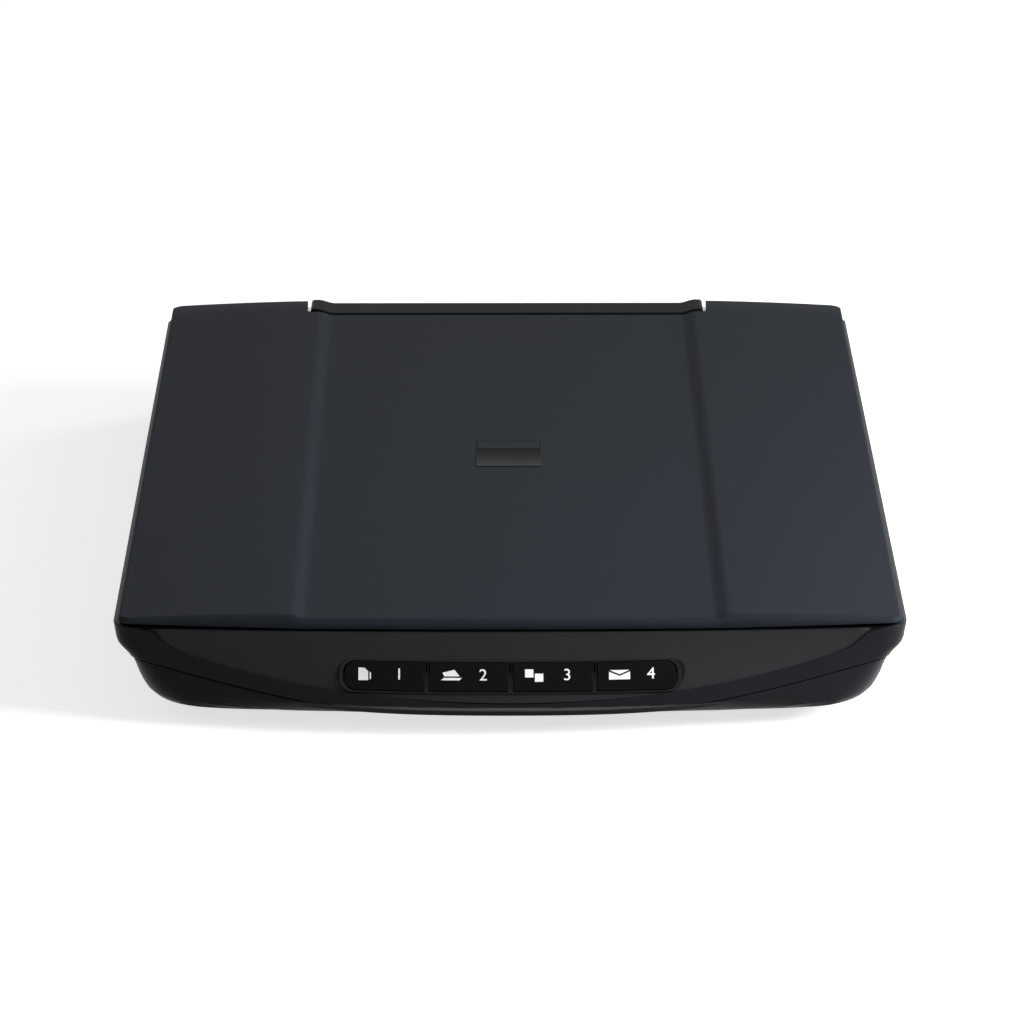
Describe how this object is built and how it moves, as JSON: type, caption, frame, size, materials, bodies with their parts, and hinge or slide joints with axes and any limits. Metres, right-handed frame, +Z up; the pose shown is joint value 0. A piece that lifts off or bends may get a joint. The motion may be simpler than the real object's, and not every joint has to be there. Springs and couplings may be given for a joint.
{
  "type": "flatbed scanner",
  "caption": "Slim flatbed document scanner with a hinged lifting lid, glass platen, front push buttons and a belt-driven sensor carriage.",
  "frame": {"origin": "on the table, under the middle of the case", "axes": "+X to the right seen from the buttons, +Y to the back (hinge side), +Z up"},
  "size_m": [0.25, 0.365, 0.039],
  "materials": {
    "case_plastic": "fine-grained moulded plastic, satin black",
    "panel_plastic": "finely textured dark plastic",
    "gloss_black": "polished black plastic",
    "lid_plastic": "finely grained slate grey plastic",
    "glass": "clear float glass",
    "clear_plastic": "clear acrylic",
    "rubber": "matt black rubber",
    "steel": "bright ground steel",
    "zinc_steel": "zinc plated sheet steel",
    "gear_plastic": "natural acetal",
    "inner_plastic": "black moulded plastic",
    "circuit_board": "green solder mask",
    "chip_plastic": "black component bodies",
    "bronze": "sintered bronze",
    "belt_rubber": "ground black rubber",
    "foam": "closed-cell foam",
    "white_sheet": "smooth white film"
  },
  "bodies": {
    "base": {"lower_case": "case_plastic", "upper_case": "case_plastic", "front_panel": "panel_plastic", "button_bezel": "gloss_black", "button_board": "circuit_board", "tact_switches": "chip_plastic", "platen_glass": "glass", "glass_tape": "inner_plastic", "shading_strip": "white_sheet", "guide_rod": "steel", "rod_clips": "inner_plastic", "motor_can": "zinc_steel", "motor_plate": "zinc_steel", "gear_axles": "steel", "tension_slide": "inner_plastic", "tension_spring": "steel", "drive_belt": "belt_rubber", "main_board": "circuit_board", "board_chips": "chip_plastic", "usb_socket": "zinc_steel", "rubber_feet": "rubber", "case_screws": "zinc_steel"},
    "carriage": {"carriage_frame": "inner_plastic", "belt_clamp": "inner_plastic", "rod_bushes": "bronze", "cis_housing": "inner_plastic", "cis_window": "glass", "lens_array": "clear_plastic", "light_guide": "clear_plastic", "sensor_board": "circuit_board", "cis_springs": "steel", "glide_pads": "gear_plastic", "rail_shoe": "gear_plastic"},
    "hinge_lift": {"hinge_bar": "gloss_black", "hinge_posts": "inner_plastic"},
    "lid": {"lid_cover": "lid_plastic", "lid_liner": "case_plastic", "pressure_foam": "foam", "pressure_sheet": "white_sheet", "badge_plate": "gloss_black", "hinge_pins": "steel"},
    "motor_rotor": {"motor_shaft": "steel", "motor_pinion": "gear_plastic"},
    "reduction_gear": {"reduction_gear": "gear_plastic"},
    "drive_pulley": {"drive_pulley": "gear_plastic"},
    "idler_pulley": {"idler_pulley": "gear_plastic"},
    "button_1": {"button_1": "gloss_black"},
    "button_2": {"button_2": "gloss_black"},
    "button_3": {"button_3": "gloss_black"},
    "button_4": {"button_4": "gloss_black"}
  },
  "joints": [
    {"name": "hinge_lift", "type": "slide", "parent": "base", "child": "hinge_lift", "axis": [0, 0, 1], "range_m": [0, 0.012]},
    {"name": "lid_open", "type": "hinge", "parent": "hinge_lift", "child": "lid", "pos_m": [0, 0.1775, 0.0352], "axis": [-1, 0, 0], "range_deg": [0, 90]},
    {"name": "carriage_slide", "type": "slide", "parent": "base", "child": "carriage", "axis": [0, 1, 0], "range_m": [0, 0.297]},
    {"name": "drive_pulley_spin", "type": "hinge", "parent": "base", "child": "drive_pulley", "pos_m": [-0.08, 0.163, 0.012], "axis": [0, 0, 1], "continuous": true},
    {"name": "idler_pulley_spin", "type": "hinge", "parent": "base", "child": "idler_pulley", "pos_m": [-0.08, -0.161, 0.012], "axis": [0, 0, 1], "continuous": true},
    {"name": "reduction_gear_spin", "type": "hinge", "parent": "base", "child": "reduction_gear", "pos_m": [-0.09112, 0.1585, 0.006], "axis": [0, 0, 1], "continuous": true},
    {"name": "motor_spin", "type": "hinge", "parent": "base", "child": "motor_rotor", "pos_m": [-0.1, 0.168, 0.006], "axis": [0, 0, 1], "continuous": true},
    {"name": "button_1_press", "type": "slide", "parent": "base", "child": "button_1", "axis": [0.0552, 0.8208, -0.5686], "range_m": [0, 0.0008], "stiffness_N_per_m": 900},
    {"name": "button_2_press", "type": "slide", "parent": "base", "child": "button_2", "axis": [0.0184, 0.8219, -0.5693], "range_m": [0, 0.0008], "stiffness_N_per_m": 900},
    {"name": "button_3_press", "type": "slide", "parent": "base", "child": "button_3", "axis": [-0.0184, 0.8219, -0.5693], "range_m": [0, 0.0008], "stiffness_N_per_m": 900},
    {"name": "button_4_press", "type": "slide", "parent": "base", "child": "button_4", "axis": [-0.0552, 0.8208, -0.5686], "range_m": [0, 0.0008], "stiffness_N_per_m": 900}
  ],
  "couplings": [
    {"joint": "drive_pulley_spin", "follows": "carriage_slide", "rad_per_m": 183.49},
    {"joint": "idler_pulley_spin", "follows": "carriage_slide", "rad_per_m": 183.49},
    {"joint": "reduction_gear_spin", "follows": "carriage_slide", "rad_per_m": -550.46},
    {"joint": "motor_spin", "follows": "carriage_slide", "rad_per_m": 1834.9}
  ]
}
